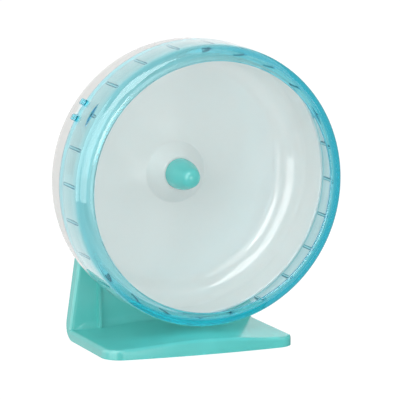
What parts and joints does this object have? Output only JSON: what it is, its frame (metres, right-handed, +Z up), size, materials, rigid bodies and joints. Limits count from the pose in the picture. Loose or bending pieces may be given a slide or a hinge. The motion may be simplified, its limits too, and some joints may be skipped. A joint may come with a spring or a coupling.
{
  "type": "hamster running wheel",
  "caption": "Round running wheel for a small pet: an open-fronted two-part drum with a bullet-shaped hub cap, turning on a bolt through a low L-shaped stand.",
  "frame": {"origin": "on the ground, under the middle of the whole object's bounding box", "axes": "+Z up; the wheel's open front faces -Y and the upright's back +Y; +X to the right of a viewer facing the open front. The axle is parallel to Y, 128.5 mm above the ground"},
  "size_m": [0.21, 0.115, 0.2335],
  "materials": {
    "teal_plastic": "glossy, opaque blue-green",
    "clear_cyan_plastic": "clear, tinted pale cyan",
    "milky_plastic": "milky translucent",
    "bearing_steel": "ground and polished",
    "zinc_plate": "bright zinc plate",
    "cage_brass": "satin"
  },
  "bodies": {
    "stand": {"stand": "teal_plastic", "axle_bolt": "zinc_plate", "head_washer": "zinc_plate", "clamp_nut": "zinc_plate", "rear_washer": "zinc_plate", "rear_bearing_inner_race": "bearing_steel", "spacer_sleeve": "bearing_steel", "front_bearing_inner_race": "bearing_steel", "front_washer": "zinc_plate", "lock_nut": "zinc_plate"},
    "wheel": {"dish": "milky_plastic", "clear_ring": "clear_cyan_plastic", "knob": "teal_plastic", "front_bearing_outer_race": "bearing_steel", "front_bearing_front_shield": "bearing_steel", "front_bearing_rear_shield": "bearing_steel", "rear_bearing_outer_race": "bearing_steel", "rear_bearing_front_shield": "bearing_steel", "rear_bearing_rear_shield": "bearing_steel"},
    "front_cage": {"front_bearing_cage": "cage_brass", "front_bearing_ball_1": "bearing_steel", "front_bearing_ball_2": "bearing_steel", "front_bearing_ball_3": "bearing_steel", "front_bearing_ball_4": "bearing_steel", "front_bearing_ball_5": "bearing_steel", "front_bearing_ball_6": "bearing_steel", "front_bearing_ball_7": "bearing_steel"},
    "rear_cage": {"rear_bearing_cage": "cage_brass", "rear_bearing_ball_1": "bearing_steel", "rear_bearing_ball_2": "bearing_steel", "rear_bearing_ball_3": "bearing_steel", "rear_bearing_ball_4": "bearing_steel", "rear_bearing_ball_5": "bearing_steel", "rear_bearing_ball_6": "bearing_steel", "rear_bearing_ball_7": "bearing_steel"}
  },
  "joints": [
    {"name": "wheel_spin", "type": "hinge", "parent": "stand", "child": "wheel", "pos_m": [0, 0, 0.1285], "axis": [0, 1, 0], "continuous": true},
    {"name": "front_cage_spin", "type": "hinge", "parent": "stand", "child": "front_cage", "pos_m": [0, 0, 0.1285], "axis": [0, 1, 0], "continuous": true},
    {"name": "rear_cage_spin", "type": "hinge", "parent": "stand", "child": "rear_cage", "pos_m": [0, 0, 0.1285], "axis": [0, 1, 0], "continuous": true}
  ],
  "couplings": [
    {"joint": "front_cage_spin", "follows": "wheel_spin", "ratio": 0.63},
    {"joint": "rear_cage_spin", "follows": "wheel_spin", "ratio": 0.63}
  ]
}
